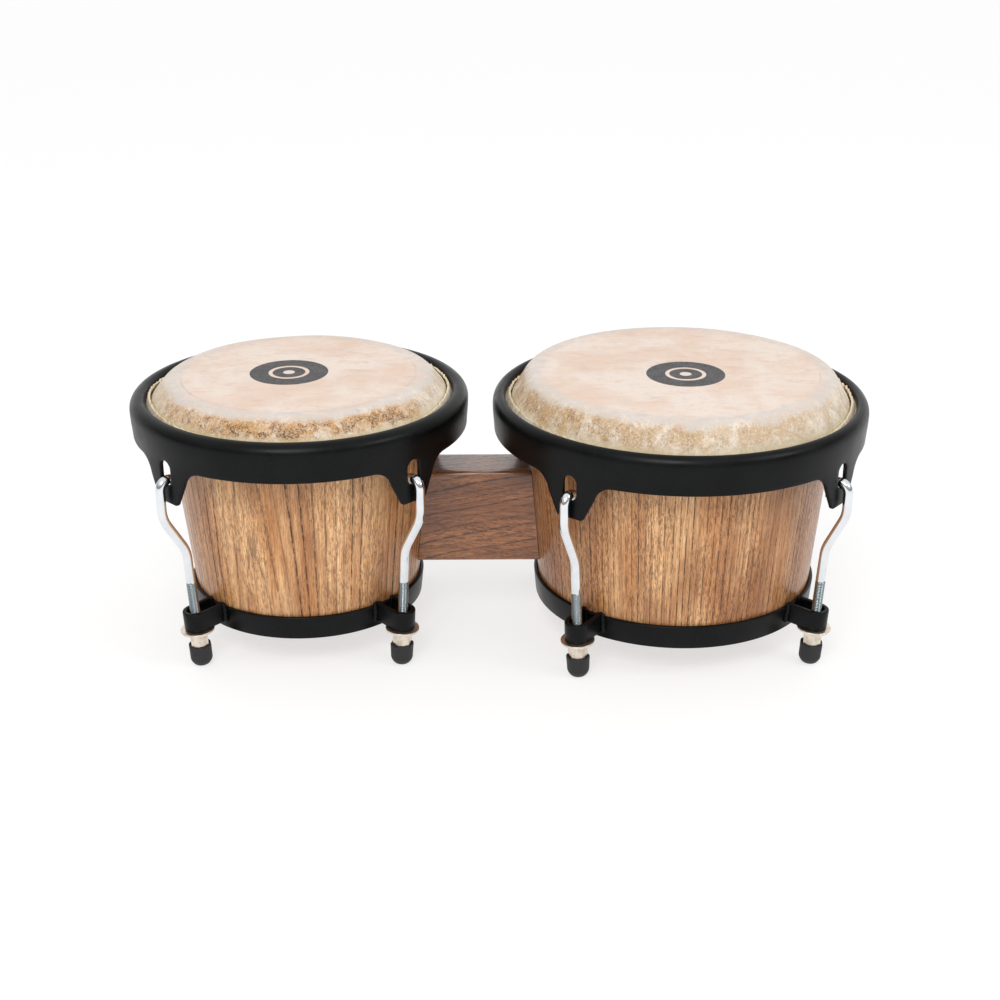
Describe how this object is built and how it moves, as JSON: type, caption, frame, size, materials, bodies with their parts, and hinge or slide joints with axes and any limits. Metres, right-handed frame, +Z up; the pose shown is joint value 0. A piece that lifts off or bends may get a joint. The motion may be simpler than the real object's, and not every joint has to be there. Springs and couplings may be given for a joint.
{
  "type": "bongo drums",
  "caption": "Pair of tuned hand drums: tapered wooden shells with rawhide heads, steel rims and hooked tuning rods, joined by a wooden block.",
  "frame": {"origin": "on the surface that the feet stand on, under the middle of the pair's box", "axes": "+X from the small drum to the large drum, +Z up along the drums' axes, -Y the front"},
  "size_m": [0.4384, 0.2234, 0.163],
  "materials": {
    "shell_wood": "satin lacquered honey-brown open-pored wood, grain upright",
    "block_wood": "satin lacquered darker brown wood, grain lengthways",
    "rawhide": "natural rawhide, matte, mottled, with hair pores on the collar",
    "black_steel": "satin black powder coat",
    "chrome_steel": "bright chrome plate on steel, rolled thread at the foot",
    "nickel_steel": "warm nickel plate",
    "zinc_steel": "zinc plate",
    "black_rubber": "matte moulded rubber"
  },
  "bodies": {
    "root": {"macho_shell": "shell_wood", "macho_head": "rawhide", "macho_bottom_ring": "black_steel", "macho_washer_1": "nickel_steel", "macho_washer_2": "nickel_steel", "macho_washer_3": "nickel_steel", "macho_washer_4": "nickel_steel", "hembra_shell": "shell_wood", "hembra_head": "rawhide", "hembra_bottom_ring": "black_steel", "hembra_washer_1": "nickel_steel", "hembra_washer_2": "nickel_steel", "hembra_washer_3": "nickel_steel", "hembra_washer_4": "nickel_steel", "block_bolt_lower": "zinc_steel", "block_bolt_upper": "zinc_steel", "block_washer_macho_lower": "zinc_steel", "block_washer_macho_upper": "zinc_steel", "block_washer_hembra_lower": "zinc_steel", "block_washer_hembra_upper": "zinc_steel", "block_nut_lower": "zinc_steel", "block_nut_upper": "zinc_steel", "centre_block": "block_wood"},
    "macho_rim_and_rods": {"macho_head_lap": "rawhide", "macho_flesh_hoop": "zinc_steel", "macho_rim": "black_steel", "macho_rod_1": "chrome_steel", "macho_rod_2": "chrome_steel", "macho_rod_3": "chrome_steel", "macho_rod_4": "chrome_steel"},
    "macho_foot_1": {"macho_nut_1": "nickel_steel", "macho_tip_1": "black_rubber"},
    "macho_foot_2": {"macho_nut_2": "nickel_steel", "macho_tip_2": "black_rubber"},
    "macho_foot_3": {"macho_nut_3": "nickel_steel", "macho_tip_3": "black_rubber"},
    "macho_foot_4": {"macho_nut_4": "nickel_steel", "macho_tip_4": "black_rubber"},
    "hembra_rim_and_rods": {"hembra_head_lap": "rawhide", "hembra_flesh_hoop": "zinc_steel", "hembra_rim": "black_steel", "hembra_rod_1": "chrome_steel", "hembra_rod_2": "chrome_steel", "hembra_rod_3": "chrome_steel", "hembra_rod_4": "chrome_steel"},
    "hembra_foot_1": {"hembra_nut_1": "nickel_steel", "hembra_tip_1": "black_rubber"},
    "hembra_foot_2": {"hembra_nut_2": "nickel_steel", "hembra_tip_2": "black_rubber"},
    "hembra_foot_3": {"hembra_nut_3": "nickel_steel", "hembra_tip_3": "black_rubber"},
    "hembra_foot_4": {"hembra_nut_4": "nickel_steel", "hembra_tip_4": "black_rubber"}
  },
  "joints": [
    {"name": "macho_rim_slide", "type": "slide", "parent": "root", "child": "macho_rim_and_rods", "axis": [0, 0, 1], "range_m": [-0.003, 0.002]},
    {"name": "macho_nut_turn_1", "type": "hinge", "parent": "root", "child": "macho_foot_1", "pos_m": [-0.05956, 0.05954, 0.00016], "axis": [0.0462, 0.0462, 0.9979], "range_deg": [-720, 1080]},
    {"name": "macho_nut_turn_2", "type": "hinge", "parent": "root", "child": "macho_foot_2", "pos_m": [-0.17864, 0.05954, 0.00016], "axis": [-0.0462, 0.0462, 0.9979], "range_deg": [-720, 1080]},
    {"name": "macho_nut_turn_3", "type": "hinge", "parent": "root", "child": "macho_foot_3", "pos_m": [-0.17864, -0.05954, 0.00016], "axis": [-0.0462, -0.0462, 0.9979], "range_deg": [-720, 1080]},
    {"name": "macho_nut_turn_4", "type": "hinge", "parent": "root", "child": "macho_foot_4", "pos_m": [-0.05956, -0.05954, 0.00016], "axis": [0.0462, -0.0462, 0.9979], "range_deg": [-720, 1080]},
    {"name": "hembra_rim_slide", "type": "slide", "parent": "root", "child": "hembra_rim_and_rods", "axis": [0, 0, 1], "range_m": [-0.003, 0.002]},
    {"name": "hembra_nut_turn_1", "type": "hinge", "parent": "root", "child": "hembra_foot_1", "pos_m": [0.16945, 0.07663, 0.00016], "axis": [0.0412, 0.0508, 0.9979], "range_deg": [-720, 1080]},
    {"name": "hembra_nut_turn_2", "type": "hinge", "parent": "root", "child": "hembra_foot_2", "pos_m": [0.03077, 0.06205, 0.00016], "axis": [-0.0508, 0.0412, 0.9979], "range_deg": [-720, 1080]},
    {"name": "hembra_nut_turn_3", "type": "hinge", "parent": "root", "child": "hembra_foot_3", "pos_m": [0.04535, -0.07663, 0.00016], "axis": [-0.0412, -0.0508, 0.9979], "range_deg": [-720, 1080]},
    {"name": "hembra_nut_turn_4", "type": "hinge", "parent": "root", "child": "hembra_foot_4", "pos_m": [0.18403, -0.06205, 0.00016], "axis": [0.0508, -0.0412, 0.9979], "range_deg": [-720, 1080]}
  ],
  "couplings": [
    {"joint": "macho_nut_turn_1", "follows": "macho_rim_slide", "rad_per_m": -6283.2},
    {"joint": "macho_nut_turn_2", "follows": "macho_rim_slide", "rad_per_m": -6283.2},
    {"joint": "macho_nut_turn_3", "follows": "macho_rim_slide", "rad_per_m": -6283.2},
    {"joint": "macho_nut_turn_4", "follows": "macho_rim_slide", "rad_per_m": -6283.2},
    {"joint": "hembra_nut_turn_1", "follows": "hembra_rim_slide", "rad_per_m": -6283.2},
    {"joint": "hembra_nut_turn_2", "follows": "hembra_rim_slide", "rad_per_m": -6283.2},
    {"joint": "hembra_nut_turn_3", "follows": "hembra_rim_slide", "rad_per_m": -6283.2},
    {"joint": "hembra_nut_turn_4", "follows": "hembra_rim_slide", "rad_per_m": -6283.2}
  ]
}
